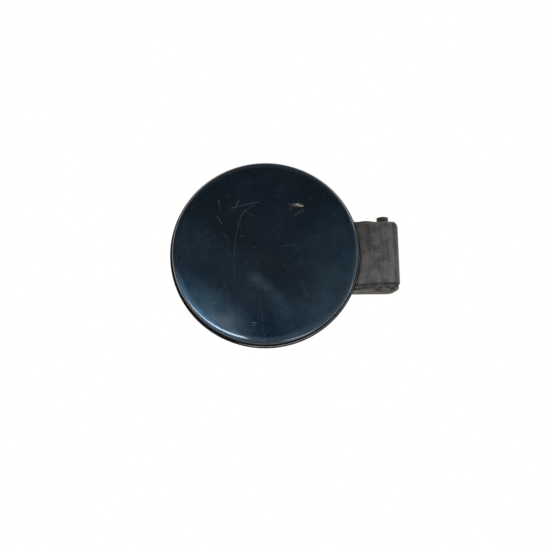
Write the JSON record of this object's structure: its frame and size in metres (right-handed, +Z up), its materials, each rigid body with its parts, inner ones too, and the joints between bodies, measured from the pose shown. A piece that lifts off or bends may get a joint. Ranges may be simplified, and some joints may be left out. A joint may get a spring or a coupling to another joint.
{
  "type": "car fuel door",
  "caption": "Round car fuel door: a domed painted lid with a rubber edge seal on a plastic carrier, hung on a swan-neck hinge arm that turns on a sprung pin.",
  "frame": {"origin": "on the hinge axis, at the foot of the upper free end of the hinge pin, where the pin leaves the arm", "axes": "+Z up along the hinge axis, painted face towards -Y, hinge side towards +X"},
  "size_m": [0.2058, 0.051, 0.1696],
  "materials": {
    "paint": "gloss",
    "seal_rubber": "matt",
    "carrier_plastic": "matt",
    "arm_plastic": "dusty satin",
    "screw_steel": "zinc",
    "pin_steel": "dusty satin",
    "clip_steel": "satin",
    "spring_steel": "satin",
    "striker_steel": "zinc",
    "holder_plastic": "matt",
    "buffer_rubber": "matt"
  },
  "bodies": {
    "pin_set": {"hinge_pin": "pin_steel", "pin_clips": "clip_steel", "torsion_spring": "spring_steel"},
    "door": {"lid_skin": "paint", "edge_seal": "seal_rubber", "inner_carrier": "carrier_plastic", "hinge_arm": "arm_plastic", "arm_screws": "screw_steel", "latch_striker": "striker_steel", "striker_screws": "screw_steel", "cap_holder": "holder_plastic", "cap_screw": "screw_steel", "buffers": "buffer_rubber"}
  },
  "joints": [
    {"name": "door_swing", "type": "hinge", "parent": "pin_set", "child": "door", "pos_m": [0, 0, 0], "axis": [0, 0, 1], "range_deg": [0, 80], "stiffness_Nm_per_rad": 0.03, "springref_deg": -60.16, "deforming": ["torsion_spring"]}
  ]
}
